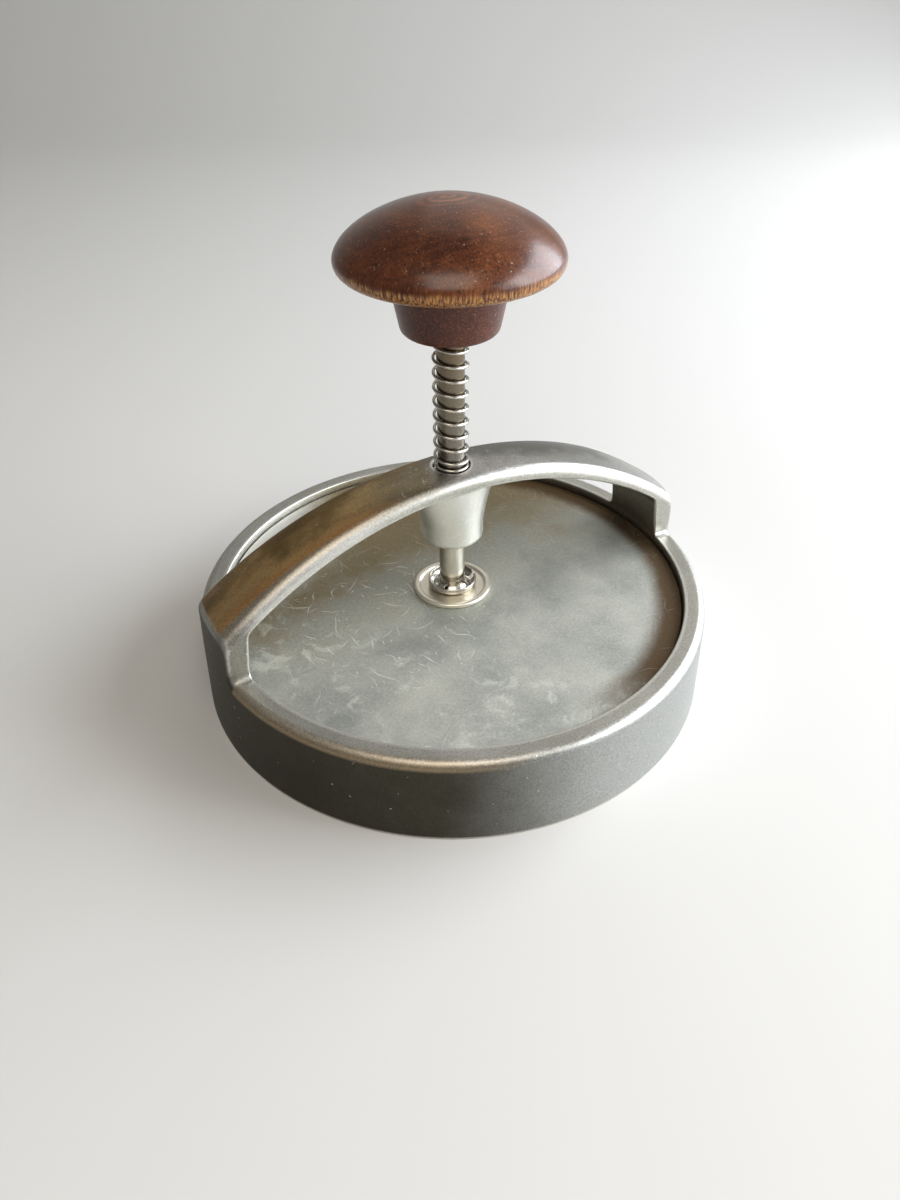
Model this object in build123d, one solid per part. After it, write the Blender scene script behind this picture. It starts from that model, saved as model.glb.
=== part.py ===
from build123d import *
from math import cos, pi, radians, sin, sqrt, tan
import os

# Burger press: a cast aluminium ring with an arched bridge across it, and a plunger through the
# middle of the bridge. A wooden knob pushes a steel rod and a round plate down inside the ring,
# and a coil spring lifts them again. All sizes are millimetres. The ring stands on z = 0 with its
# axis on Z, and the bridge runs along X.

# Ring
ring_outer_diameter = 127.0
ring_wall = 5.05
ring_height = 22.9
ring_draft = 2.2
rim_round = 2.0
foot_edge_break = 0.4

# Bridge over the ring
bridge_rise = 33.1
bridge_radius = 99.4
bridge_middle_width = 15.6
bridge_end_width = 20.2
bridge_thickness = 3.3
bridge_crown = 0.9
bridge_edge_round = 1.5
bridge_inside_round = 0.8
bridge_lower_round = 0.6
leg_inside_draft = 6.5

# Boss under the bridge, with its stepped bore
boss_diameter = 15.4
boss_length = 20.0
boss_end_round = 1.6
boss_straight = 4.2
boss_flare = 3.6
boss_flare_power = 1.5
boss_flare_steps = 4
boss_flare_overlap = 0.1
pocket_depth = 12.9
pocket_mouth_break = 0.35
guide_mouth_break = 0.4

# Rod and what it carries
rod_diameter = 6.35
rod_end_break = 0.6
rod_head_diameter = 11.0
rod_head_thickness = 1.4
rod_head_clearance = 0.1
rod_grip_in_knob = 16.0
knob_bore_clearance = 0.04
guide_clearance = 0.06
plate_depth = 2.0
plate_thickness = 3.0
plate_gap = 0.35
plate_top_break = 0.3
plate_foot_break = 0.8
washer_diameter = 19.6
washer_thickness = 0.7
washer_bead_height = 1.2
washer_bead_width = 1.25
washer_bead_slope = 0.5
washer_edge_round = 0.4
washer_clearance = 0.1
retainer_diameter = 12.2
retainer_height = 2.3
retainer_foot_diameter = 9.8
retainer_bowl_height = 1.1
retainer_teeth_height = 1.7
retainer_sheet = 0.5
retainer_edge_round = 0.2
retainer_gap = 1.4
retainer_gap_angle = -8.0
retainer_clearance = 0.04
retainer_slots = 4
retainer_slot_width = 1.1
retainer_slot_reach = 1.5

# Spring
spring_wire = 0.72
spring_closed_turns = 1.0
spring_easing_turns = 0.5
spring_open_turns = 11.75
spring_closed_gap = 0.44
spring_rod_gap = 0.30
spring_pocket_gap = 0.31
spring_seat_gap = 0.05
spring_start_angle = 237.4

# Knob
knob_height_over_bridge = 32.4
knob_neck_length = 12.7
knob_neck_diameter = 21.3
knob_neck_top_diameter = 26.4
knob_neck_round = 1.6
knob_cap_diameter = 48.0
knob_cap_height = 14.6
knob_rim_height = 3.1
knob_underside_diameter = 40.0
knob_dome_power = 1.69
knob_dome_points = 9

# Places worked out from those sizes
ring_radius = ring_outer_diameter / 2
bore_radius = ring_radius - ring_wall
draft_slope = tan(radians(ring_draft))
foot_radius = ring_radius + ring_height * draft_slope
bridge_edge_top = ring_height + bridge_rise
bridge_top = bridge_edge_top + bridge_crown
arch_axis_z = bridge_edge_top - bridge_radius
arch_under_radius = bridge_radius - bridge_thickness
boss_bottom = bridge_top - boss_length
pocket_floor = bridge_top - pocket_depth
rod_radius = rod_diameter / 2
coil_radius = rod_radius + spring_rod_gap + spring_wire / 2
pocket_radius = coil_radius + spring_wire / 2 + spring_pocket_gap
plate_top = ring_height - plate_depth
plate_bottom = plate_top - plate_thickness
plate_radius = bore_radius - plate_gap
rod_head_radius = rod_head_diameter / 2
washer_top = plate_top + washer_thickness
knob_bottom = bridge_top + knob_height_over_bridge
knob_rim_bottom = knob_bottom + knob_neck_length
knob_top = knob_rim_bottom + knob_cap_height
rod_top = knob_bottom + rod_grip_in_knob


def section(points):
    """A closed face on the XZ plane from (radius, height) corners, to turn about an axis."""
    with BuildSketch(Plane.XZ) as sketch:
        with BuildLine():
            Polyline(*points, close=True)
        make_face()
    return sketch.sketch


def corner(face, radius, height):
    """The corner of a section at that radius and height."""
    return face.vertices().sort_by(lambda v: abs(v.X - radius) + abs(v.Z - height))[0]


def ring_blank():
    """The ring before it is hollowed: drafted outside, with a rounded rim."""
    tangent_height = ring_height - rim_round
    tangent_radius = ring_radius + draft_slope * rim_round
    middle = rim_round * (1 - sqrt(0.5))
    with BuildSketch(Plane.XZ) as profile:
        with BuildLine():
            Line((0, ring_height), (ring_radius - rim_round, ring_height))
            ThreePointArc(
                (ring_radius - rim_round, ring_height),
                (ring_radius - middle, ring_height - middle),
                (tangent_radius, tangent_height),
            )
            Line((tangent_radius, tangent_height), (foot_radius, 0))
            Line((foot_radius, 0), (0, 0))
            Line((0, 0), (0, ring_height))
        make_face()
    return revolve(profile.sketch, Axis.Z)


def bridge_outline(low, high):
    """The bridge seen from above, waisted in the middle, as an upright prism."""
    half_length = foot_radius + ring_wall
    middle = bridge_middle_width / 2
    end = middle + (bridge_end_width - bridge_middle_width) / 2 * (half_length / ring_radius) ** 2
    with BuildSketch(Plane.XY.offset(low)) as plan:
        with BuildLine():
            ThreePointArc((-half_length, end), (0, middle), (half_length, end))
            Line((half_length, end), (half_length, -end))
            ThreePointArc((half_length, -end), (0, -middle), (-half_length, -end))
            Line((-half_length, -end), (-half_length, end))
        make_face()
    return extrude(plan.sketch, high - low)


def outer_wall(low, high):
    """The drafted outside of the ring carried on upwards, so that the legs stand flush with it."""
    low_radius = ring_radius + (ring_height - low) * draft_slope
    high_radius = ring_radius + (ring_height - high) * draft_slope
    return revolve(section([(0, low), (low_radius, low), (high_radius, high), (0, high)]), Axis.Z)


def under_the_crown():
    """All that lies below the bridge's top skin: part of a wide wheel whose rim is crowned."""
    half_width = bridge_end_width * 0.6
    middle = bridge_middle_width / 2
    crown_radius = (middle**2 + bridge_crown**2) / (2 * bridge_crown)
    crown_axis = bridge_radius + bridge_crown - crown_radius
    shoulder = arch_axis_z + crown_axis + sqrt(crown_radius**2 - half_width**2)
    inside = arch_axis_z + ring_radius
    with BuildSketch(Plane.YZ) as wheel:
        with BuildLine():
            ThreePointArc((-half_width, shoulder), (0, bridge_top), (half_width, shoulder))
            Line((half_width, shoulder), (half_width, inside))
            Line((half_width, inside), (-half_width, inside))
            Line((-half_width, inside), (-half_width, shoulder))
        make_face()
    arch_axis = Axis((0, 0, arch_axis_z), (0, 1, 0))
    return revolve(wheel.sketch, arch_axis, 60) + revolve(wheel.sketch, arch_axis, -60)


def arch_block():
    """The bridge before it is hollowed, rounded along its top and down its outer corners."""
    low = ring_height - 1.75 * rim_round
    high = bridge_top + 1
    block = bridge_outline(low, high) & outer_wall(low, high) & under_the_crown()
    edges = block.edges().filter_by(lambda e: e.center().Z > low + 0.1 and e.length > 1)
    return fillet(edges, bridge_edge_round)


def inner_space():
    """The room inside the ring and under the arch. Above the ring the legs lean in on this side."""
    high = bridge_top + 1
    high_radius = bore_radius - (high - ring_height) * tan(radians(leg_inside_draft))
    corners = [(0, -1), (bore_radius, -1), (bore_radius, ring_height), (high_radius, high), (0, high)]
    bore = revolve(section(corners), Axis.Z)
    arch = Pos(0, 0, arch_axis_z) * Rot(90, 0, 0) * Cylinder(arch_under_radius, 3 * bore_radius)
    return bore & arch


def boss():
    """The boss that hangs under the bridge: round at its end, spreading along the bridge at its root."""
    side = boss_diameter / 2
    bend = boss_bottom + boss_straight
    root = arch_axis_z + arch_under_radius
    end = Pos(0, 0, boss_bottom) * extrude(Circle(side), boss_straight)
    end = fillet(end.edges().sort_by(Axis.Z)[0], boss_end_round)
    shares = [step / boss_flare_steps for step in range(boss_flare_steps + 1)] + [1 + boss_flare_overlap]
    outlines = []
    for share in shares:
        half_length = side + boss_flare * share**boss_flare_power
        outlines.append(Pos(0, 0, bend + (root - bend) * share) * Ellipse(half_length, side))
    return end + loft(outlines)


def stepped_bore():
    """The rod's guide bore with the spring's pocket above it, both with broken edges."""
    guide = rod_radius + guide_clearance / 2
    mouth = bridge_top - bridge_crown / 2
    corners = [(0, boss_bottom - 1), (guide + guide_mouth_break + 1, boss_bottom - 1)]
    corners += [(guide, boss_bottom + guide_mouth_break), (guide, pocket_floor)]
    corners += [(pocket_radius, pocket_floor), (pocket_radius, mouth - pocket_mouth_break)]
    corners += [(pocket_radius + 2, mouth - pocket_mouth_break + 2), (0, mouth - pocket_mouth_break + 2)]
    return Rot(0, 0, 90) * revolve(section(corners), Axis.Z)


def press_body():
    """The casting: ring, arched bridge and boss in one piece."""
    body = ring_blank() + arch_block() - inner_space()
    at_leg = lambda e: abs(e.center().Y) < 1 and abs(abs(e.center().X) - bore_radius) < ring_wall / 2
    body = fillet(body.edges().filter_by(lambda e: at_leg(e) and e.center().Z > ring_height + 1), bridge_inside_round)
    arch_sides = body.edges().filter_by(lambda e: e.length > 1.5 * bore_radius and e.center().Z > ring_height + 1)
    arch_sides = arch_sides.filter_by(lambda e: e.center().Z < bridge_edge_top - bridge_thickness / 2)
    body = fillet(arch_sides, bridge_lower_round)
    body = chamfer(body.edges().filter_by(lambda e: abs(e.center().Z) < 0.01), foot_edge_break)
    return body + boss() - stepped_bore()


def push_rod():
    """The rod: a flat head under the plate, a straight shank and a broken top end."""
    corners = [(0, plate_bottom), (rod_head_radius, plate_bottom)]
    corners += [(rod_head_radius, plate_bottom + rod_head_thickness), (rod_radius, plate_bottom + rod_head_thickness)]
    corners += [(rod_radius, rod_top - rod_end_break), (rod_radius - rod_end_break, rod_top), (0, rod_top)]
    return revolve(section(corners), Axis.Z)


def press_plate():
    """The round plate, counterbored underneath for the rod's head, with its foot edge broken."""
    hole = rod_radius + rod_head_clearance / 2
    recess = rod_head_radius + rod_head_clearance / 2
    seat = plate_bottom + rod_head_thickness
    corners = [(hole, plate_top), (plate_radius - plate_top_break, plate_top)]
    corners += [(plate_radius, plate_top - plate_top_break), (plate_radius, plate_bottom + plate_foot_break)]
    corners += [(plate_radius - plate_foot_break, plate_bottom), (recess, plate_bottom)]
    corners += [(recess, seat), (hole, seat)]
    return revolve(section(corners), Axis.Z)


def hub_washer():
    """The dished washer on the plate: a flat floor with a raised, rounded bead round its rim."""
    hole = rod_radius + washer_clearance / 2
    rim = washer_diameter / 2
    bead = rim - washer_bead_width
    bead_top = plate_top + washer_bead_height
    corners = [(hole, plate_top), (rim, plate_top), (rim, bead_top), (bead, bead_top)]
    corners += [(bead - washer_bead_slope, washer_top), (hole, washer_top)]
    face = section(corners)
    face = fillet(corner(face, rim, plate_top), washer_edge_round)
    face = fillet(corner(face, rim, bead_top), washer_edge_round)
    face = fillet(corner(face, bead, bead_top), washer_edge_round)
    return revolve(face, Axis.Z)


def retaining_ring():
    """The push-on retainer: a split spring-steel bowl with a raised ring of teeth that grip the rod."""
    hole = rod_radius + retainer_clearance / 2
    rim = retainer_diameter / 2
    foot = retainer_foot_diameter / 2
    bowl = washer_top + retainer_bowl_height
    top = washer_top + retainer_height
    teeth = washer_top + retainer_teeth_height
    corners = [(foot - retainer_sheet, washer_top), (foot, washer_top), (rim, bowl), (rim, top)]
    corners += [(rim - retainer_sheet, top), (rim - retainer_sheet, bowl + retainer_sheet / 2)]
    corners += [(foot - retainer_sheet / 4, washer_top + retainer_sheet), (hole, teeth), (hole, teeth - retainer_sheet)]
    face = section(corners)
    face = fillet(corner(face, rim, top), retainer_edge_round)
    face = fillet(corner(face, rim - retainer_sheet, top), retainer_edge_round)
    ring = revolve(face, Axis.Z)
    reach = hole + retainer_slot_reach
    for turn in range(retainer_slots):
        slot = Pos(reach / 2, 0, teeth) * Box(reach, retainer_slot_width, 3 * retainer_height)
        ring -= Rot(0, 0, retainer_gap_angle + 45 + turn * 360 / retainer_slots) * slot
    split = Pos(rim, 0, teeth) * Box(2 * rim, retainer_gap, 3 * retainer_height)
    return ring - Rot(0, 0, retainer_gap_angle) * split


def knob():
    """The turned wooden knob: a tapered neck, a flat underside and a domed cap."""
    neck = knob_neck_diameter / 2
    neck_top = knob_neck_top_diameter / 2
    cap = knob_cap_diameter / 2
    under = knob_underside_diameter / 2
    hole = rod_radius + knob_bore_clearance / 2
    rim = knob_rim_bottom + knob_rim_height
    dome_rise = knob_top - rim
    dome = []
    for step in range(knob_dome_points + 1):
        angle = pi / 2 * step / knob_dome_points
        share = 2 / knob_dome_power
        dome.append((cap * cos(angle) ** share, rim + dome_rise * sin(angle) ** share))
    dome[-1] = (0, knob_top)
    slant = (neck_top - neck) / knob_neck_length
    with BuildSketch(Plane.XZ) as profile:
        with BuildLine():
            Line((hole, knob_bottom), (neck - knob_neck_round, knob_bottom))
            ThreePointArc(
                (neck - knob_neck_round, knob_bottom),
                (neck - knob_neck_round * (1 - sqrt(0.5)), knob_bottom + knob_neck_round * (1 - sqrt(0.5))),
                (neck + slant * knob_neck_round, knob_bottom + knob_neck_round),
            )
            Line((neck + slant * knob_neck_round, knob_bottom + knob_neck_round), (neck_top, knob_rim_bottom))
            Line((neck_top, knob_rim_bottom), (under, knob_rim_bottom))
            Spline((under, knob_rim_bottom), (cap, rim), tangents=((1, 0.15), (0, 1)))
            Spline(*dome, tangents=((0, 1), (-1, 0)))
            Line((0, knob_top), (0, rod_top))
            Line((0, rod_top), (hole, rod_top))
            Line((hole, rod_top), (hole, knob_bottom))
        make_face()
    return revolve(profile.sketch, Axis.Z)


def coil_height(turns, pitches):
    """Height of the spring's wire above its first end after so many turns."""
    height = 0
    for length, start, end in pitches:
        part = min(max(turns, 0), length)
        height += start * part + (end - start) * part**2 / (2 * length)
        turns -= length
    return height


def coil_pitch(turns, pitches):
    """Rise of the spring's wire per turn at that place."""
    for length, start, end in pitches:
        if turns <= length:
            return start + (end - start) * turns / length
        turns -= length
    return pitches[-1][2]


def spring_pitches():
    """The spring's stretches as (turns, pitch at the start, pitch at the end)."""
    closed = spring_wire + spring_closed_gap
    room = knob_bottom - pocket_floor - 2 * spring_seat_gap - spring_wire
    closed_rise = 2 * closed * (spring_closed_turns + spring_easing_turns / 2)
    pitch = (room - closed_rise) / (spring_open_turns + spring_easing_turns)
    ends = [(spring_closed_turns, closed, closed), (spring_easing_turns, closed, pitch)]
    back = [(length, end, start) for length, start, end in reversed(ends)]
    return ends + [(spring_open_turns, pitch, pitch)] + back


def spring_point(turns, pitches):
    """Where the middle of the wire is after so many turns of a left-handed coil."""
    angle = radians(spring_start_angle) - 2 * pi * turns
    height = pocket_floor + spring_seat_gap + spring_wire / 2 + coil_height(turns, pitches)
    return Vector(coil_radius * cos(angle), coil_radius * sin(angle), height)


def spring_direction(turns, pitches):
    """The way the wire runs there."""
    angle = radians(spring_start_angle) - 2 * pi * turns
    around = 2 * pi * coil_radius
    return Vector(sin(angle) * around, -cos(angle) * around, coil_pitch(turns, pitches)).normalized()


def spring_gap(pitches, total):
    """The least clear space between the spring's wire and itself, a turn apart or more."""
    steps = 24
    points = [spring_point(step / steps, pitches) for step in range(round(total * steps) + 1)]
    least = coil_radius
    for first in range(len(points)):
        for second in range(first + steps // 2, min(first + 2 * steps, len(points))):
            least = min(least, (points[second] - points[first]).length - spring_wire)
    return least


def return_spring():
    """The coil spring round the rod, one tube swept along quarter-turn pairs of arcs."""
    pitches = spring_pitches()
    total = sum(length for length, start, end in pitches)
    quarters = round(total * 4)
    arcs = []
    for quarter in range(quarters):
        start = spring_point(total * quarter / quarters, pitches)
        end = spring_point(total * (quarter + 1) / quarters, pitches)
        leave = spring_direction(total * quarter / quarters, pitches)
        arrive = spring_direction(total * (quarter + 1) / quarters, pitches)
        chord = end - start
        both = leave + arrive
        slack = 4 - both.dot(both)
        reach = (sqrt(chord.dot(both) ** 2 + slack * chord.dot(chord)) - chord.dot(both)) / slack
        first = start + leave * reach
        second = end - arrive * reach
        middle = (first + second) * 0.5
        arcs.append(TangentArc(start, middle, tangent=leave))
        arcs.append(TangentArc(middle, end, tangent=(second - first).normalized()))
    path = Wire(arcs)
    start = Plane(origin=path @ 0, z_dir=path % 0)
    coil = sweep(start * Circle(spring_wire / 2), path=path)
    print("spring turns", round(total, 3), "open pitch", round(pitches[2][1], 3))
    print("spring least gap to itself", round(spring_gap(pitches, total), 3))
    print("spring volume", round(coil.volume, 2), "length times section")
    print(round(path.length * pi * spring_wire**2 / 4, 2))
    return coil


if __name__ == "__main__":
    os.makedirs("parts", exist_ok=True)
    export_step(press_body(), "parts/press_body.step")
    export_step(press_plate(), "parts/press_plate.step")
    export_step(hub_washer(), "parts/hub_washer.step")
    export_step(retaining_ring(), "parts/retaining_ring.step")
    export_step(push_rod(), "parts/push_rod.step")
    export_step(return_spring(), "parts/return_spring.step")
    export_step(knob(), "parts/knob.step")
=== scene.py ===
# %% [markdown]
# # A burger press, finished in Blender
# The press is a cast aluminium ring with an arched bridge across it. A wooden knob pushes a steel rod
# and a round plate down inside the ring, and a coil spring lifts them again. The CAD model is loaded
# first as a fixed frame, and every surface below is worked out in the same place and at the same size.

import functools
import math
import types

import bmesh
import bpy
import numpy as np
from mathutils import Matrix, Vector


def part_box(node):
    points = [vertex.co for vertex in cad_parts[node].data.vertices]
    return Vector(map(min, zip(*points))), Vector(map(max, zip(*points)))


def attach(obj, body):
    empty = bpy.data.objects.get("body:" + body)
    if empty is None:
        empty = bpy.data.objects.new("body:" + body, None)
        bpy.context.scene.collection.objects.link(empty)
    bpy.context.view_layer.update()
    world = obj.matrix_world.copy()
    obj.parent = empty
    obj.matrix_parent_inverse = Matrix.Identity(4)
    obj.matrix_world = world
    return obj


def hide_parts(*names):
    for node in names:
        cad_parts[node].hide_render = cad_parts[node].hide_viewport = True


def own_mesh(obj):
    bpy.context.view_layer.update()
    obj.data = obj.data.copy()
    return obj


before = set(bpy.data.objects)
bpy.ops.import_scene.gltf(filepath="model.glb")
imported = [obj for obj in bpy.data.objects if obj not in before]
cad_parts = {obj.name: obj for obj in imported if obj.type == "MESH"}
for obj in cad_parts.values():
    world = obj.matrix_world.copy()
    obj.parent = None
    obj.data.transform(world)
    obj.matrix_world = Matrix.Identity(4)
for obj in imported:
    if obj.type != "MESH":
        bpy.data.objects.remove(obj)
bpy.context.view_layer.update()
MM = 0.001

# %% [markdown]
# ## Sizes
# Each new surface lies where its solid does, so the sizes come first, in millimetres. The round pieces
# give theirs from their boxes in the frame. The casting's box says little about its form, so the sizes
# of its ring, its arch and the boss that guides the rod are written out as the CAD model has them.


# %% Sizes that the frame gives
def extent(node):
    """A round node's radius, lowest height and highest height, to a hundredth of a millimetre."""
    low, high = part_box(node)
    return [round(v / MM, 2) for v in (high.x, low.z, high.z)]


PLATE_RADIUS, PLATE_BOTTOM, PLATE_TOP = extent("press_plate")
WASHER_RADIUS, _, WASHER_TOP = extent("hub_washer")
HEAD_RADIUS, _, ROD_TOP = extent("push_rod")
BOWL_BOTTOM, BOWL_TOP = extent("retaining_ring")[1:]
KNOB_RADIUS, KNOB_BOTTOM, KNOB_TOP = extent("knob")

# %% Sizes of the casting and its bores
# The ring: its radius is at the rim, and the wall's draft widens it towards the foot.
RING_TOP, RING_RADIUS, BORE_RADIUS, RIM_ROUND = 22.9, 63.5, 58.45, 2.0
DRAFT = math.tan(math.radians(2.2))
# The arch: the crown is how far its skin rises from the sides to the middle, and the spread is what each
# side gains from the middle to the feet. The legs' inner faces lean inwards, and a fillet roots them.
ARCH_RADIUS, ARCH_THICKNESS, ARCH_RISE, ARCH_CROWN = 99.4, 3.3, 33.1, 0.9
ARCH_UNDER = ARCH_RADIUS - ARCH_THICKNESS
ARCH_AXIS = RING_TOP + ARCH_RISE - ARCH_RADIUS
ARCH_SIDE, ARCH_SPREAD = 7.8, 2.3
LEG_LEAN = math.tan(math.radians(6.5))
LEG_ROOT = 1.4
# The boss: above the bottom of its flare it grows along the arch and narrows a little across it.
BOSS_RADIUS, BOSS_BOTTOM, BOSS_ROUND = 7.7, 36.9, 1.6
FLARE_BOTTOM, FLARE_TOP, FLARE, NARROWING = 41.1, 52.7, 3.6, 0.32
ROD_RADIUS, ROD_GAP = 3.175, 0.03
POCKET_RADIUS, POCKET_FLOOR = 4.505, 44.0
print("arch axis", round(ARCH_AXIS, 2), "under radius", round(ARCH_UNDER, 2))

# %% [markdown]
# ## Surfaces from grids
# A turned piece is a profile carried round an axis, and a cast one is a grid of two parameters laid over
# its shape. Both are whole numpy arrays, so one function puts any grid of points into a mesh. Where a row
# shrinks to a point, as on an axis, its doubles are merged and the surface closes there.


# %% One mesh from one grid
def grid_faces(rows, columns, wrap_rows=False, wrap_columns=True):
    """Corner numbers of every cell of a grid, counted row by row, closed into a loop where wrapped."""
    i = np.arange(rows if wrap_rows else rows - 1)[:, None]
    j = np.arange(columns if wrap_columns else columns - 1)[None, :]
    row, below = i * columns, (i + 1) % rows * columns
    right = (j + 1) % columns
    return np.stack([row + j, row + right, below + right, below + j], -1).reshape(-1, 4)


def piece(name, points, faces, attributes=None, normals=None):
    """A smooth mesh object at the origin from points in millimetres and four-cornered faces."""
    mesh = bpy.data.meshes.new(name)
    mesh.vertices.add(len(points))
    mesh.vertices.foreach_set("co", (points * MM).astype(np.float32).ravel())
    mesh.loops.add(faces.size)
    mesh.loops.foreach_set("vertex_index", faces.astype(np.int32).ravel())
    mesh.polygons.add(len(faces))
    mesh.polygons.foreach_set("loop_start", np.arange(0, faces.size, 4, dtype=np.int32))
    for label, values in (attributes or {}).items():
        kept = mesh.attributes.new(label, "FLOAT", "POINT")
        kept.data.foreach_set("value", values.astype(np.float32).ravel())
    mesh.update(calc_edges=True)
    if normals is None:
        work = bmesh.new()
        work.from_mesh(mesh)
        bmesh.ops.remove_doubles(work, verts=work.verts, dist=1e-7)
        bmesh.ops.recalc_face_normals(work, faces=work.faces)
        work.to_mesh(mesh)
        work.free()
    mesh.polygons.foreach_set("use_smooth", np.ones(len(mesh.polygons), dtype=bool))
    if normals is not None:
        mesh.normals_split_custom_set_from_vertices(normals.tolist())
    made = bpy.data.objects.new(name, mesh)
    bpy.context.collection.objects.link(made)
    print(name, len(mesh.vertices), "points", len(mesh.polygons), "faces")
    return made


# %% A profile with rounded corners, and a turned piece
def rounded(corners, steps=8):
    """Straight runs between (radius, height, rounding) corners. Each rounding is an arc that touches both
    runs: it starts rounding * tan(turn / 2) before the corner and is divided into equal steps."""
    at = np.array([c[:2] for c in corners], float)
    line = []
    for k, (_, _, size) in enumerate(corners):
        here, before, after = at[k], at[k - 1], at[(k + 1) % len(at)]
        if size == 0:
            line.append(here[None])
            continue
        a = (before - here) / np.linalg.norm(before - here)
        b = (after - here) / np.linalg.norm(after - here)
        half = math.acos(np.clip(a @ b, -1, 1)) / 2
        centre = here + (a + b) / np.linalg.norm(a + b) * size / math.sin(half)
        start = here + a * size / math.tan(half) - centre
        end = here + b * size / math.tan(half) - centre
        sweep = math.atan2(start[0] * end[1] - start[1] * end[0], start @ end)
        t = np.linspace(0, sweep, steps + 1)[:, None]
        square = np.array([-start[1], start[0]])
        line.append(centre + start * np.cos(t) + square * np.sin(t))
    return np.concatenate(line)


def dense(line, longest, closed=True):
    """The same line with its long runs divided, so that no step is over the longest allowed."""
    starts, ends = (line, np.roll(line, -1, 0)) if closed else (line[:-1], line[1:])
    parts = []
    for a, b in zip(starts, ends):
        count = max(1, int(np.ceil(np.linalg.norm(b - a) / longest)))
        parts.append(a + (b - a) * np.linspace(0, 1, count, endpoint=False)[:, None])
    return np.concatenate(parts + ([] if closed else [line[-1:]]))


def carried_round(profile, turns):
    """Points (r cos a, r sin a, z) for a profile of (radius, height) points and even turns about Z."""
    angle = np.linspace(0, 2 * np.pi, turns, endpoint=False)
    r, z = profile[:, :1], profile[:, 1:]
    return np.stack([r * np.cos(angle), r * np.sin(angle), z + 0 * angle], -1).reshape(-1, 3)


def turned(name, profile, turns):
    """A piece from a closed profile carried round Z."""
    return piece(name, carried_round(profile, turns), grid_faces(len(profile), turns, wrap_rows=True))

# %% [markdown]
# ## The casting
# Ring, arch and boss are one casting, and what makes it look cast is that every edge is soft and every
# inside corner is filled. Modelled piece by piece, those fillets would each need a surface of their own.
# Instead the whole casting is written as one distance: negative inside the metal, zero on its skin. Where
# two shapes meet, their distances are blended so that the edge or the corner comes out as an arc.


# %% Distances that meet and join with arcs
def step(t):
    """A soft step from 0 to 1: t * t * (3 - 2 t), held outside 0 to 1."""
    t = np.clip(t, 0, 1)
    return t * t * (3 - 2 * t)


def meet(a, b, r):
    """Inside both shapes, with their common edge rounded to radius r."""
    return np.minimum(-r, np.maximum(a, b)) + np.hypot(np.maximum(a + r, 0), np.maximum(b + r, 0))


def join(a, b, r):
    """Inside either shape, with the corner between them filled to radius r."""
    return -meet(-a, -b, r)


def side_reach(x):
    """Half the arch's width, which grows with the square of the way from the middle."""
    return ARCH_SIDE + ARCH_SPREAD * (x / RING_RADIUS) ** 2


def boss_reach(z):
    """Half the boss's length along the arch and half its width across it, at each height. The length grows
    with the power 1.5 of the height in the flare, and the width draws in a little under the arch."""
    t = np.clip((z - FLARE_BOTTOM) / (FLARE_TOP - FLARE_BOTTOM), 0, 1.15)
    return BOSS_RADIUS + FLARE * t**1.5, BOSS_RADIUS - NARROWING * t


def casting(p):
    """Millimetres from the casting's skin. Wall, bore and boss are measured from the ring's axis, the
    arch's skin and underside from the axis that its arcs share, and its sides from the middle plane.
    The boss is an ellipse: with k = hypot(x / a, y / b), its distance is near k (k - 1) / |slope of k|.
    The last number in each meet and join is the rounding or the fillet there."""
    x, y, z = p[..., 0], p[..., 1], p[..., 2]
    around, reach = np.hypot(x, y), np.hypot(x, z - ARCH_AXIS)
    wall = around - RING_RADIUS - (RING_TOP - z) * DRAFT
    bore = around - BORE_RADIUS + np.maximum(z - RING_TOP, 0) * LEG_LEAN
    skin = reach - ARCH_RADIUS - ARCH_CROWN * (1 - (y / ARCH_SIDE) ** 2)
    under = reach - ARCH_UNDER
    side = np.abs(y) - side_reach(x)
    a, b = boss_reach(z)
    k = np.hypot(x / a, y / b)
    oval = k * (k - 1) / np.maximum(np.hypot(x / a**2, y / b**2), 1e-4)
    below_skin = skin + 1.8
    boss = np.maximum(meet(oval, BOSS_BOTTOM - z, BOSS_ROUND), below_skin)
    arch = meet(skin, side, 2.1)
    middle = join(meet(arch, -under, 0.7), boss, 0.35)
    up_leg = step((z - RING_TOP) / 4)
    legs = join(z - RING_TOP, arch, LEG_ROOT)
    legs = meet(legs, wall, RIM_ROUND - up_leg)
    legs = meet(legs, -meet(bore, under, 0.8), 0.35 + 0.35 * up_leg)
    near_boss = (np.abs(x) < 28) & (z > 30)
    body = np.where(near_boss, middle, legs)
    pocket = np.maximum(around - POCKET_RADIUS, POCKET_FLOOR - z)
    bored = np.minimum(pocket, around - ROD_RADIUS - ROD_GAP)
    return meet(body, -bored, 0.2)


def slope(p, reach=0.02):
    """How that distance grows along X, Y and Z, from points to either side."""
    return np.stack([(casting(p + d) - casting(p - d)) / (2 * reach) for d in np.eye(3) * reach], -1)


def settle(p, rounds=8):
    """Points drawn onto the skin: each round moves them back along the slope by their distance."""
    for _ in range(rounds):
        g = slope(p)
        p = p - casting(p)[..., None] * g / np.maximum((g * g).sum(-1, keepdims=True), 0.3)
    return p


over_20 = np.array([20, 0, ARCH_AXIS + math.sqrt((ARCH_RADIUS + ARCH_CROWN) ** 2 - 20**2)])
print("distance from the skin 20 mm beside the arch's middle:", casting(over_20))

# %% [markdown]
# Three grids are laid over the casting and settled onto its skin: one turned round the ring, one run up
# the left leg, over the arch and down the right leg, and one turned round the boss from the lip of the
# spring's pocket, down through the bores and up the outside. They overlap where they meet.


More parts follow.
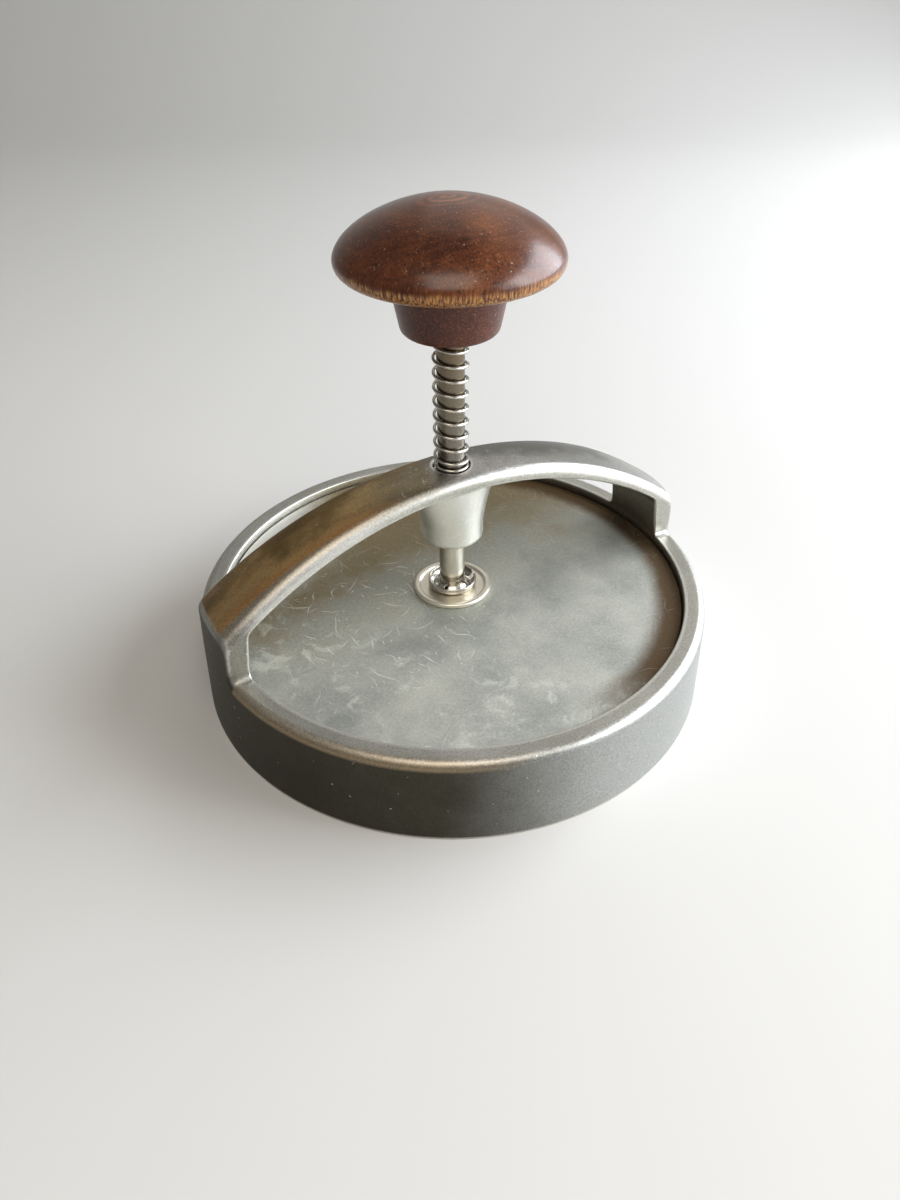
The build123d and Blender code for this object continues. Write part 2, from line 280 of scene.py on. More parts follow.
# %% The ring's grid
def ring_grid(turns=288):
    """The ring's section carried round: bore, rim, drafted wall and foot."""
    foot = RING_RADIUS + RING_TOP * DRAFT
    corners = [(BORE_RADIUS, 0, 0.4), (BORE_RADIUS, RING_TOP, 0.35)]
    corners += [(RING_RADIUS, RING_TOP, RIM_ROUND), (foot, 0, 0.5)]
    line = dense(rounded(corners), 1.2)
    return carried_round(line, turns), grid_faces(len(line), turns, wrap_rows=True)


# %% The bridge's grid
def arch_line(radius, foot, lean):
    """Points (x, z) of an arc from foot to foot: each is at the angle lean * asin(foot / radius)."""
    angle = lean * math.asin(foot / radius)
    return np.stack([radius * np.sin(angle), ARCH_AXIS + radius * np.cos(angle)], -1)


def bridge_rows(arch_rows):
    """Each row's outer and inner point in the middle plane, from foot to foot, what the root's fillet adds
    to its width, r - sqrt(r * r - d * d), and how far the row sinks with the rim's rounding. The leg's
    rows, given by their heights over the rim, are closest in the fillet, where the shape turns most."""
    lean = np.linspace(-1, 1, arch_rows)
    lean = np.sin(lean * np.pi / 2) * 0.35 + lean * 0.65
    over = np.array([-0.6, -0.12, 0, 0.03, 0.09, 0.18, 0.3, 0.45, 0.65, 0.9, 1.2, 1.5, 2.0, 2.8, 3.8, 5, 6.2,
                     7.3, 8.3, 9.1, 9.6])
    heights = RING_TOP + over
    fillet = np.clip(LEG_ROOT - over, 0, LEG_ROOT)
    spread = LEG_ROOT - np.sqrt(np.maximum(LEG_ROOT**2 - fillet**2, 0)) + np.maximum(-over, 0)
    t = (heights - heights[0]) / (heights[-1] - heights[0])
    bottom, rise = heights[0], 11.7 * t**1.1
    leg_height = bottom + rise + (heights - bottom - rise) * (1 - step(t * 2))
    leg_out = np.stack([-RING_RADIUS + 0.4 * t, leg_height], -1)
    leg_in = np.stack([-BORE_RADIUS + np.maximum(over, 0) * LEG_LEAN, heights], -1)
    mirror = np.array([-1, 1])
    foot_out, foot_in = 63.0, 57.2
    outer = np.concatenate([leg_out, arch_line(ARCH_RADIUS, foot_out, lean), leg_out[::-1] * mirror])
    inner = np.concatenate([leg_in, arch_line(ARCH_UNDER, foot_in, lean), leg_in[::-1] * mirror])
    level = np.zeros(arch_rows)
    sinking = 1 - step((heights - RING_TOP - 0.1) / 5)
    wide = np.concatenate([spread, level, spread[::-1]])
    sunk = np.concatenate([sinking, level, sinking[::-1]])
    return outer, inner, wide[:, None], sunk[:, None]


def bridge_grid(arch_rows=230, top_columns=41, side_columns=13):
    """Rows go from foot to foot and columns go round the section: over the top, down one side, back under
    the arch and up the other side. At the feet the sides spread and sink into the rim. Cells over the
    pocket's mouth and inside the boss are left out, because the boss's grid covers those places."""
    outer, inner, wide, sunk = bridge_rows(arch_rows)
    across = np.linspace(-1, 1, top_columns)
    across = np.sin(across * np.pi / 2) * 0.6 + across * 0.4
    depth = (1 - np.cos(np.linspace(0, np.pi, side_columns + 2)[1:-1])) / 2
    f = np.concatenate([across, np.ones(side_columns), across[::-1], -np.ones(side_columns)])
    d = np.concatenate([np.zeros(top_columns), depth, np.ones(top_columns), depth[::-1]])
    u = outer[:, :1] * (1 - d) + inner[:, :1] * d
    z = outer[:, 1:] * (1 - d) + inner[:, 1:] * d
    y = f * (side_reach(u) + wide)
    round_plan = step((np.abs(u) - 45) / 12)
    round_u = np.sqrt(np.maximum(u**2 - y**2, 1))
    x = np.sign(u) * (np.abs(u) * (1 - round_plan) + round_plan * round_u)
    past = np.maximum(np.abs(u) - RING_RADIUS + RIM_ROUND, 0)
    z = z - (RIM_ROUND - np.sqrt(np.maximum(RIM_ROUND**2 - past**2, 0))) * sunk
    points = settle(np.stack([x, y, z], -1))
    for row in (0, -1):
        points[row] = np.stack([x[row], y[row], z[row]], -1)
    rows, columns = x.shape
    points = points.reshape(-1, 3)
    faces = grid_faces(rows, columns)
    middle = points[faces].mean(1)
    around = np.hypot(middle[:, 0], middle[:, 1])
    column = np.tile(np.arange(columns), rows - 1)
    first = top_columns + side_columns
    underside = (column >= first) & (column < first + top_columns - 1)
    in_mouth = (around < 6.3) & (middle[:, 2] > 45) & ~underside
    in_boss = underside & (around < 12.0)
    return points, faces[~(in_mouth | in_boss)]


# %% The boss's grid, with the spring's pocket and the rod's guide
def boss_grid(turns=144):
    """A profile carried round Z: the pocket, the guide and the end are round, and in the flare each
    radius becomes an ellipse's, 1 / hypot(cos / a, sin / b), drawn in where the arch's sides cut it off.
    The profile only has to start near the skin, because it is settled there."""
    lip = [(7.3, 56.6), (6.6, 56.7), (5.9, 56.8), (5.3, 56.8), (4.9, 56.8), (4.7, 56.78), (4.63, 56.74),
           (4.56, 56.68), (4.52, 56.6)]
    pocket = [(POCKET_RADIUS, h) for h in np.linspace(56.1, 44.2, 16)]
    floor = [(4.45, 44.02), (4.0, POCKET_FLOOR), (3.5, POCKET_FLOOR), (3.3, 43.95)]
    guide = [(ROD_RADIUS + ROD_GAP, h) for h in np.linspace(43.6, 37.3, 8)]
    end = [(3.3, 37.0)] + [(r, BOSS_BOTTOM) for r in (3.6, 4.4, 5.2, 5.9)]
    turn = np.linspace(0, np.pi / 2, 9)[1:]
    corner = (BOSS_RADIUS - BOSS_ROUND, BOSS_BOTTOM + BOSS_ROUND)
    rounding = list(zip(corner[0] + BOSS_ROUND * np.sin(turn), corner[1] - BOSS_ROUND * np.cos(turn)))
    round_rows = lip + pocket + floor + guide + end + rounding
    flare = [(0, h) for h in np.linspace(39.2, 52.3, 34)]
    under_arch = [(o, 52.3 + o * 0.1) for o in (0.12, 0.25, 0.4, 0.6, 1.0, 1.6, 2.4)]
    line = np.array(round_rows + flare + under_arch)
    angle = np.linspace(0, 2 * np.pi, turns, endpoint=False)
    r, z = line[:, :1] + 0 * angle, line[:, 1:] + 0 * angle
    a, b = boss_reach(z)
    flared = (np.arange(len(line)) >= len(round_rows))[:, None]
    r = np.where(flared, r + 1 / np.hypot(np.cos(angle) / a, np.sin(angle) / b), r)
    limit = np.minimum((ARCH_SIDE - 0.05) / np.maximum(np.abs(np.sin(angle)), 0.01), 99)
    drawn = np.where(flared, np.minimum(r, limit), r)
    z = z + (r - drawn) * 0.5
    points = settle(np.stack([drawn * np.cos(angle), drawn * np.sin(angle), z], -1))
    return points.reshape(-1, 3), grid_faces(*r.shape)


# %% One casting from the three grids
def casting_piece():
    """The grids put together. Each point also keeps how sharply the skin bends outwards there, from the
    mean distance half a millimetre around it, because hands polish just those edges, how far it belongs
    to the outer wall, whose dull film carries painted shade, and how far to the top of the arch, where an
    old film stays."""
    grids = [ring_grid(), bridge_grid(), boss_grid()]
    points = np.concatenate([g[0] for g in grids])
    starts = np.cumsum([0] + [len(g[0]) for g in grids[:-1]])
    faces = np.concatenate([g[1] + s for g, s in zip(grids, starts)])
    lean = slope(points)
    normals = lean / np.linalg.norm(lean, axis=1, keepdims=True)
    a, b, c, d = (points[faces[:, k]] for k in range(4))
    inward = (np.cross(c - a, d - b) * normals[faces].mean(1)).sum(1) < 0
    faces = np.where(inward[:, None], faces[:, ::-1], faces)
    reach = 0.5
    near = [casting(points + d * s) for d in np.eye(3) * reach for s in (1, -1)]
    edge = np.clip((sum(near) / 6 - casting(points)) / reach**2 * 6, 0, 2)
    x, y, z = points.T
    around, over = np.hypot(x, y), z - RING_TOP
    outwards = (normals[:, :2] * points[:, :2]).sum(1) / np.maximum(around, 1)
    wall = step((outwards - 0.55) / 0.35) * step((13 - over) / 4) * step((around - 60) / 2)
    film = step((normals[:, 2] - 0.45) / 0.4) * step((over - 7) / 4)
    return piece("cast_ring_and_bridge", points, faces, {"edge": edge, "wall": wall, "film": film}, normals)


body = casting_piece()
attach(body, "frame")
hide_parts("press_body")

# %% [markdown]
# ## The turned pieces
# Plate, washer and rod are plain turned shapes, so each is one profile carried round the axis. Their
# edges are broken by a fraction of a millimetre, because that is what catches the light on real metal.

# %% Plate, washer and rod, each from its (radius, height, rounding) corners
HUB_BORE = 3.225
HEAD_TOP = PLATE_BOTTOM + 1.4
WASHER_FLAT = BOWL_BOTTOM
recess = HEAD_RADIUS + 0.05
plate = turned("press_plate_disc", dense(rounded([
    (HUB_BORE, HEAD_TOP, 0), (HUB_BORE, PLATE_TOP, 0.1), (PLATE_RADIUS, PLATE_TOP, 0.35),
    (PLATE_RADIUS, PLATE_BOTTOM, 0.8), (recess, PLATE_BOTTOM, 0.1), (recess, HEAD_TOP, 0)]), 1.5), 256)
washer = turned("hub_washer_disc", dense(rounded([
    (HUB_BORE, PLATE_TOP, 0), (WASHER_RADIUS, PLATE_TOP, 0.42), (WASHER_RADIUS, WASHER_TOP, 0.5),
    (8.55, WASHER_TOP, 0.5), (8.05, WASHER_FLAT, 0.4), (HUB_BORE, WASHER_FLAT, 0.1)]), 0.4), 144)
rod = turned("push_rod_shank", dense(rounded([
    (0, PLATE_BOTTOM, 0), (HEAD_RADIUS, PLATE_BOTTOM, 0.15), (HEAD_RADIUS, HEAD_TOP, 0),
    (ROD_RADIUS, HEAD_TOP, 0), (ROD_RADIUS, ROD_TOP, 0.6), (0, ROD_TOP, 0)]), 2.0), 96)

# %% [markdown]
# The retainer that holds the plate on the rod is stamped from thin spring steel: a small bowl, split at one
# side, whose middle is raised into four teeth that bite the rod. Sheet metal is easiest as a middle line
# with a thickness, and the line is simply cut short where there is a slot between two teeth.


# %% The split retaining bowl
def retaining_bowl(sheet=0.5, radius=5.85, gap=1.4, gap_at=-8.0, tooth=1.25, turns=240):
    """The middle line runs from the rim's top down the bowl and up the teeth. Both faces lie half a sheet
    to either side of it, drawn together round each edge as sqrt(1 - e * e), and carried from one side of
    the split to the other. The end sections close on the middle line."""
    base, half = BOWL_BOTTOM, sheet / 2
    line = rounded([
        (radius, BOWL_TOP, 0), (radius, base + 1.1, 0.7), (4.9, base + half, 0.5), (4.55, base + half, 0.5),
        (ROD_RADIUS + 0.02, base + 1.5, 0)], 5)
    line = dense(line, 0.16, closed=False)
    length = np.concatenate([[0], np.cumsum(np.linalg.norm(np.diff(line, axis=0), axis=1))])
    share = (1 - np.cos(np.linspace(0, np.pi, 44))) / 2
    start = math.asin(gap / 2 / radius)
    angle = np.linspace(start, 2 * np.pi - start, turns)
    from_slot = np.abs(np.degrees(angle) % 90 - 45)
    cut = tooth * (1 - step((from_slot - 6) / 2))
    s = share[:, None] * (length[-1] - cut)
    r, z = np.interp(s, length, line[:, 0]), np.interp(s, length, line[:, 1])
    along = np.stack([np.gradient(r, axis=0), np.gradient(z, axis=0)], -1)
    along /= np.hypot(along[..., 0], along[..., 1])[..., None]
    across = np.stack([along[..., 1], -along[..., 0]], -1)
    edge = np.minimum(s, s[-1] - s) / half
    thick = half * np.sqrt(np.clip(1 - np.clip(1 - edge, 0, 1) ** 2, 0, 1))
    flat = np.stack([r, z], -1)
    outer, inner = flat + across * thick[..., None], flat - across * thick[..., None]
    loop = np.concatenate([outer, inner[-2:0:-1]])
    flat = np.concatenate([flat, flat[-2:0:-1]])
    loop = np.concatenate([flat[:, :1], loop, flat[:, -1:]], 1)
    turn = np.radians(gap_at) + np.concatenate([angle[:1], angle, angle[-1:]])
    points = np.stack([loop[..., 0] * np.cos(turn), loop[..., 0] * np.sin(turn), loop[..., 1]], -1)
    faces = grid_faces(*points.shape[:2], wrap_rows=True, wrap_columns=False)
    return piece("split_retaining_bowl", points.reshape(-1, 3), faces)


retainer = retaining_bowl()

# %% [markdown]
# ## The spring
# The spring is a round wire carried along a left-handed helix: going up, the coil turns clockwise. One
# turn at each end lies close, and so does the one that shows in the mouth of the pocket. The pitch eases
# over half a turn between a close coil and an open one.


# %% The return spring
def spring_piece(wire=0.72, coil=3.835, start=237.4, end_gap=0.44, mouth_pitch=1.6, per_turn=48, sides=14):
    """The middle line is (coil cos a, coil sin a, h), where a falls by a full turn per turn and h is the
    summed pitch. Each section is a circle across the line, and the two ends shrink to a point. The open
    pitch fills the room with 14.75 turns, and the one in the pocket makes up for the turn at its mouth."""
    closed, room = wire + end_gap, KNOB_BOTTOM - POCKET_FLOOR - 0.1 - wire
    pitch = (room - closed * 2.5) / 12.25
    in_pocket = (room - 2.5 * closed - 1.45 * mouth_pitch - 8.55 * pitch) / 3.25
    stops = [
        (0, closed), (1, closed), (1.5, in_pocket), (4.2, in_pocket), (4.8, mouth_pitch), (5.7, mouth_pitch),
        (6.2, pitch), (14.25, pitch), (14.75, closed), (15.75, closed)]
    turns = np.linspace(0, stops[-1][0], int(stops[-1][0] * per_turn) + 1)
    rate = np.interp(turns, *zip(*stops))
    climb = np.concatenate([[0], np.cumsum((rate[1:] + rate[:-1]) / 2 * np.diff(turns))])
    height = climb + POCKET_FLOOR + 0.05 + wire / 2
    a = math.radians(start) - 2 * np.pi * turns
    line = np.stack([coil * np.cos(a), coil * np.sin(a), height], -1)
    along = np.gradient(line, axis=0)
    along /= np.linalg.norm(along, axis=1, keepdims=True)
    outward = np.stack([np.cos(a), np.sin(a), 0 * a], -1)
    third = np.cross(along, outward)
    turn = np.linspace(0, 2 * np.pi, sides, endpoint=False)[None, :, None]
    section = (outward[:, None] * np.cos(turn) + third[:, None] * np.sin(turn)) * wire / 2
    points = np.concatenate([0 * section[:1], section, 0 * section[-1:]])
    points += np.concatenate([line[:1], line, line[-1:]])[:, None]
    return piece("return_spring_coil", points.reshape(-1, 3), grid_faces(len(points), sides))


spring = spring_piece()

# %% [markdown]
# ## The knob
# The knob was turned on a lathe from one piece of wood: a tapered neck, a flat underside and a low dome.
# The dome is a superellipse, a little sharper at the rim than an ellipse, as the photograph shows.


# %% The turned knob
def knob_profile(power=1.69, bore=3.195, neck_radius=10.65, neck_top=13.2, underside=102.0, rim=105.1):
    """From the bore up the neck, along the underside and over the dome: r = radius cos(t)^(2/n) and
    h = rim + rise sin(t)^(2/n). A quadratic curve turns the underside up into the rim."""
    flat = KNOB_RADIUS - 3.4
    neck = rounded([
        (bore, KNOB_BOTTOM, 0.3), (neck_radius, KNOB_BOTTOM, 1.6), (neck_top, underside, 0.8),
        (flat, underside, 0), (bore, underside, 0)])[:-1]
    t = np.linspace(0, 1, 25)[1:, None]
    a, b, c = np.array([[flat, underside], [KNOB_RADIUS, underside + 0.5], [KNOB_RADIUS, rim]])
    turn_up = a * (1 - t) ** 2 + 2 * b * t * (1 - t) + c * t**2
    s = np.linspace(0, np.pi / 2, 90)[1:]
    rise = KNOB_TOP - rim
    dome = np.stack([KNOB_RADIUS * np.cos(s) ** (2 / power), rim + rise * np.sin(s) ** (2 / power)], -1)
    dome[-1, 0] = 0
    hole = np.array([[0, ROD_TOP], [bore, ROD_TOP]])
    return dense(np.concatenate([neck, turn_up, dome, hole]), 1.0)


knob = turned("turned_knob", knob_profile(), 256)

# %% [markdown]
# ## Riding with the bodies
# Each piece stands for one solid of the CAD model and moves with that solid's body. The spring is tied
# to a body of its own and has a mesh of its own.

# %% Tie each piece to the body that it moves with
for made, body_name, node, slot in (
        (plate, "plunger", "press_plate", "plate_metal"), (washer, "plunger", "hub_washer", "washer_steel"),
        (retainer, "plunger", "retaining_ring", "retainer_steel"), (rod, "plunger", "push_rod", "rod_steel"),
        (spring, "spring", "return_spring", "spring_wire"), (knob, "plunger", "knob", "knob_wood")):
    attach(made, body_name)
    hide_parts(node)
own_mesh(spring)

# %% [markdown]
# ## Finishes
# Each finish starts from what the real one is and how its surface was made. Colours are written as sRGB
# hex values, and every pattern's scale comes from a size in millimetres on the real piece. A finish is
# built up as the real one is: the bare surface first, then the films on it, then what has rubbed them off.


# %% Colours, nodes and a material's start
SMOOTH = {"interpolation_type": "SMOOTHSTEP"}
BLEND = {"out": "Result", "data_type": "RGBA"}
OVERLAY = {**BLEND, "blend_type": "OVERLAY"}
TIMES = {"operation": "MULTIPLY"}
TIMES_PLUS = {"operation": "MULTIPLY_ADD"}


def paint(hex_colour):
    """An sRGB hex colour as the linear RGBA that shaders take: ((c + 0.055) / 1.055) ** 2.4."""
    c = np.array([int(hex_colour[i:i + 2], 16) for i in (1, 3, 5)]) / 255
    linear = np.where(c <= 0.04045, c / 12.92, ((c + 0.055) / 1.055) ** 2.4)
    return (*map(float, linear), 1.0)


def add_node(material, kind, inputs=(), out=0, stops=(), **settings):
    """Adds a node with its settings, fills its inputs with values, hex colours or links, and gives back the
    output asked for. A colour ramp also takes its stops, as pairs of a place and a colour."""
    made = material.node_tree.nodes.new("ShaderNode" + kind)
    for key, value in settings.items():
        setattr(made, key, value)
    for k, (place, shade) in enumerate(stops):
        stop = made.color_ramp.elements[k] if k < 2 else made.color_ramp.elements.new(place)
        stop.position, stop.color = place, paint(shade)
    for key, value in inputs.items() if isinstance(inputs, dict) else enumerate(inputs):
        if isinstance(value, bpy.types.NodeSocket):
            material.node_tree.links.new(value, made.inputs[key])
        else:
            made.inputs[key].default_value = paint(value) if isinstance(value, str) else value
    return made.outputs[out] if made.outputs else made


def start(name):
    """A new empty material, the node function with that material filled in, and the object's own
    coordinates to hang patterns on."""
    material = bpy.data.materials.new(name)
    material.use_nodes = True
    material.node_tree.nodes.clear()
    add = functools.partial(add_node, material)
    return material, add, add("TexCoord", out="Object")


def finish_with(material, colour, roughness, height, depth_mm, **shader):
    """The surface itself, with its colour, roughness and a bump of the given depth in millimetres."""
    bump = {"Height": height, "Distance": depth_mm * MM, "Strength": 1.0}
    look = {"Base Color": colour, "Roughness": roughness, **shader}
    look["Normal"] = add_node(material, "Bump", bump)
    add_node(material, "OutputMaterial", {"Surface": add_node(material, "BsdfPrincipled", look)})
    print(material.name, len(material.node_tree.nodes), "nodes")
    return material


# %% The way out from the axis, and scratches
def from_above(add, where):
    """The coordinates with the height taken out, and how far they are from the axis."""
    flat = add("VectorMath", (where, (1.0, 1.0, 0.0)), **TIMES)
    return flat, add("VectorMath", (flat,), out="Value", operation="LENGTH")


def strokes(add, where, cell_mm, length_mm, width_mm, seed, share):
    """Short scratches seen from above, one to each cell of a Voronoi pattern. With d the way from the cell's
    point and t a random direction, a scratch is where |d x t| is under about half its width and |d . t|
    under half its length. Noise bends the coordinates first, so that the scratches curve, and the share
    of the cells given here has one."""
    long, wide = length_mm / cell_mm / 2, width_mm / cell_mm / 2
    bent = add("TexNoise", {"Vector": where, "Scale": 1 / (cell_mm * 0.9 * MM), "Detail": 1.0}, out="Color")
    bent = add("VectorMath", {0: bent, "Scale": cell_mm * 0.7 * MM}, operation="SCALE")
    laid = add("VectorMath", (where, bent), operation="ADD")
    to_cells = (1 / (cell_mm * MM), 1 / (cell_mm * MM), 0.0)
    laid = add("Mapping", (laid, (seed, seed * 0.7, 0.0), (0.0, 0.0, 0.0), to_cells))
    cells = {"Vector": laid, "Scale": 1.0, "Randomness": 1.0}
    point, lot = (add("TexVoronoi", cells, out=o, voronoi_dimensions="2D") for o in ("Position", "Color"))
    turn = add("Math", (add("SeparateColor", (lot,), out="Red"), math.pi), **TIMES)
    t = add("CombineXYZ", [add("Math", (turn,), operation=wave) for wave in ("COSINE", "SINE")])
    d = add("VectorMath", (laid, point), operation="SUBTRACT")
    along = add("VectorMath", (d, t), out="Value", operation="DOT_PRODUCT")
    along = add("Math", (along,), operation="ABSOLUTE")
    across = add("VectorMath", (d, t), operation="CROSS_PRODUCT")
    across = add("VectorMath", (across,), out="Value", operation="LENGTH")
    fade = add("MapRange", (along, 0.0, long, 1.0, 0.0), **SMOOTH)
    width = add("Math", (fade, wide, wide / 3), **TIMES_PLUS)
    line = add("Math", (width, across), operation="SUBTRACT")
    line = add("Math", (line, width), operation="DIVIDE", use_clamp=True)
    kept = add("Math", (add("SeparateColor", (lot,), out="Green"), share), operation="LESS_THAN")
    line = add("Math", (line, kept), **TIMES)
    return add("Math", (line, fade), **TIMES)


# %% [markdown]
# ## Cast aluminium
# It comes from a metal mould and is tumbled, so its skin is satin with a faint grain. Years in a kitchen
# turn it grey, with a warmer film where grease has dried, and hands keep the edges bright. Each of these
# is a step of its own below, and all share the same clouds, so that the films fray in the same way. Some
# steps also paint light and shade into the colour: light on the front face of the arch's left half, shade
# on the left leg and on the wall, and a highlight at the corner beside the left leg.


# %% What the casting's steps share
def cast_patterns(add, where):
    """The mesh's attributes, the coordinates, the way out from the axis, clouds of 20 mm, grain of half a
    millimetre, a stray of up to 15 mm either way from the clouds, and the clean boss under the arch."""
    p = types.SimpleNamespace(where=where)
    for label in ("edge", "wall", "film"):
        setattr(p, label, add("Attribute", out="Fac", attribute_name=label))
    p.x, p.y, p.z = (add("SeparateXYZ", (where,), out=axis) for axis in "XYZ")
    _, p.out = from_above(add, where)
    p.clouds = add("TexNoise", {"Vector": where, "Scale": 1 / (20 * MM), "Detail": 4.0, "Roughness": 0.6})
    p.grain = add("TexNoise", {"Vector": where, "Scale": 1 / (0.45 * MM), "Detail": 2.0, "Roughness": 0.7})
    p.stray = add("Math", (p.clouds, 30 * MM, -15 * MM), **TIMES_PLUS)
    p.strayed_x = add("Math", (p.x, p.stray), operation="ADD")
    near_axis = add("MapRange", (p.out, 15 * MM, 10 * MM), **SMOOTH)
    under_arch = add("MapRange", (p.z, 53.5 * MM, 51.5 * MM), **SMOOTH)
    p.clean = add("Math", (near_axis, under_arch), **TIMES)
    return p


# %% Bare metal with painted light and shade, and the dull film with painted shade on the wall
def bare_metal(add, p):
    """Two light greys, paler on the boss, with painted light that makes the front face of the arch's left
    half paler and painted shade that makes the left leg darker, and one even grey on the wall."""
    bare = add("ValToRGB", (p.clouds,), stops=[(0.3, "#adaca5"), (0.7, "#c3c2bb")])
    # Painted shade: the left leg above the rim is painted darker.
    at_left = add("MapRange", (p.x, -46 * MM, -54 * MM), **SMOOTH)
    over_rim = add("MapRange", (p.z, 22.8 * MM, 23.6 * MM), **SMOOTH)
    painted_shade_leg = add("Math", (at_left, over_rim), **TIMES)
    # Painted light: the front face of the arch's left half, above the leg, is painted paler.
    front = add("MapRange", (p.y, -6.8 * MM, -7.6 * MM))
    left_half = add("MapRange", (p.x, -18 * MM, -30 * MM), **SMOOTH)
    over_leg = add("Math", (p.x, 0.5, p.z), **TIMES_PLUS)
    over_leg = add("MapRange", (over_leg, 6 * MM, 12 * MM))
    painted_light_face = add("Math", (add("Math", (front, left_half), **TIMES), over_leg), **TIMES)
    for share, colour in ((p.clean, "#e6e6e1"), (painted_shade_leg, "#918f88"), (painted_light_face, "#d2d1cd"), (p.wall, "#b5b8b7")):
        bare = add("Mix", {"Factor": share, "A": bare, "B": colour}, **BLEND)
    return bare


def wall_film_and_painted_shade(add, p, skin):
    """A dark film on the wall with painted shade in it: darkest far left, it thins to bare metal at the
    front right, where the lamps light the wall, so its darkness stands partly for shade. The rim beside the
    left leg has a tan stain."""
    # Painted shade and light: the dark film stays where the wall faces away from the lamps on the right, and
    # it thins to bare metal towards the front right, where they light it.
    wear_and_painted_light = add("Math", (p.stray, 0.35), **TIMES)
    wear_and_painted_light = add("Math", (p.y, -0.64, wear_and_painted_light), **TIMES_PLUS)
    wear_and_painted_light = add("Math", (wear_and_painted_light, add("Math", (p.x, 0.77), **TIMES)), operation="ADD")
    wear_and_painted_light = add("MapRange", (wear_and_painted_light, 8 * MM, 52 * MM, 1.0, 0.0), **SMOOTH)
    dull = add("ValToRGB", (p.clouds,), stops=[(0.3, "#49463c"), (0.7, "#58554b")])
    # Painted shade: the far left of the wall is darkened further.
    painted_shade = add("MapRange", (p.strayed_x, -5 * MM, -55 * MM, 0.0, 0.4))
    dull = add("Mix", {"Factor": painted_shade, "A": dull, "B": "#2a2820"}, **BLEND)
    wear_and_painted_light = add("Math", (p.wall, wear_and_painted_light), **TIMES)
    stained = add("Math", (p.y, 0.35, p.strayed_x), **TIMES_PLUS)
    stained = add("MapRange", (stained, -32 * MM, -56 * MM), **SMOOTH)
    on_rim = add("Math", (p.clouds, 1.5 * MM, p.out), **TIMES_PLUS)
    on_rim = add("MapRange", (on_rim, 61.8 * MM, 63.4 * MM, 0.0, 0.55), **SMOOTH)
    at_top = add("MapRange", (p.z, 20.2 * MM, 21.4 * MM), **SMOOTH)
    beside_leg = add("Math", (p.y,), operation="ABSOLUTE")
    beside_leg = add("MapRange", (beside_leg, 10.4 * MM, 11.2 * MM))
    for limit in (on_rim, at_top, beside_leg):
        stained = add("Math", (stained, limit), **TIMES)
    for share, colour in ((wear_and_painted_light, dull), (stained, "#bba688")):
        skin = add("Mix", {"Factor": share, "A": skin, "B": colour}, **BLEND)
    return skin


# %% Dried grease on the bridge
def bridge_film(add, p, skin):
    """The top of the bridge is grey, darker at the back. On its left half the grease has turned golden
    brown, with noise drawn out to 17 mm along the arch and 4 mm across it, an orange streak near the
    front, and a bare front edge."""
    back = add("Math", (p.y, p.stray), operation="ADD")
    back = add("MapRange", (back, -3 * MM, 5 * MM, 0.0, 1.0), **SMOOTH)
    grey = add("Mix", {"Factor": back, "A": "#abaaa6", "B": "#716f68"}, **BLEND)
    film = add("Math", (p.film, 0.9), **TIMES)
    skin = add("Mix", {"Factor": film, "A": skin, "B": grey}, **BLEND)
    drawn = add("Mapping", (p.where, (3.0, 2.0, 1.0), (0.0, 0.0, 0.0), (60.0, 250.0, 100.0)))
    drawn = add("TexNoise", {"Vector": drawn, "Scale": 1.0, "Detail": 4.0})
    drawn = add("ValToRGB", (drawn,), stops=[(0.35, "#4c4c4c"), (0.65, "#bcbcbc")])
    golden = add("MapRange", (p.strayed_x, -12 * MM, -34 * MM), **SMOOTH)
    brown = add("Mix", {"Factor": golden, "A": "#9b8f76", "B": "#cfae7a"}, **BLEND)
    brown = add("Mix", {"Factor": back, "A": brown, "B": "#957a4e"}, **BLEND)
    brown = add("Mix", {"Factor": 0.35, "A": brown, "B": drawn}, **OVERLAY)
    streak = add("Math", (p.clouds, 3 * MM, p.y), **TIMES_PLUS)
    streak = add("MapRange", (streak, -1.2 * MM, -4.4 * MM, 0.0, 0.55), **SMOOTH)
    low_left = add("MapRange", (p.x, -12 * MM, -26 * MM), **SMOOTH)
    streak = add("Math", (streak, low_left), **TIMES)
    front_edge = add("MapRange", (p.y, -5.9 * MM, -6.9 * MM, 0.0, 0.85))
    for share, colour in ((streak, "#cf9a64"), (front_edge, "#a9a69b")):
        brown = add("Mix", {"Factor": share, "A": brown, "B": colour}, **BLEND)
    left = add("MapRange", (p.strayed_x, -3 * MM, -11 * MM), **SMOOTH)
    greased = add("Math", (p.film, left), **TIMES)
    return add("Mix", {"Factor": greased, "A": skin, "B": brown}, **BLEND)


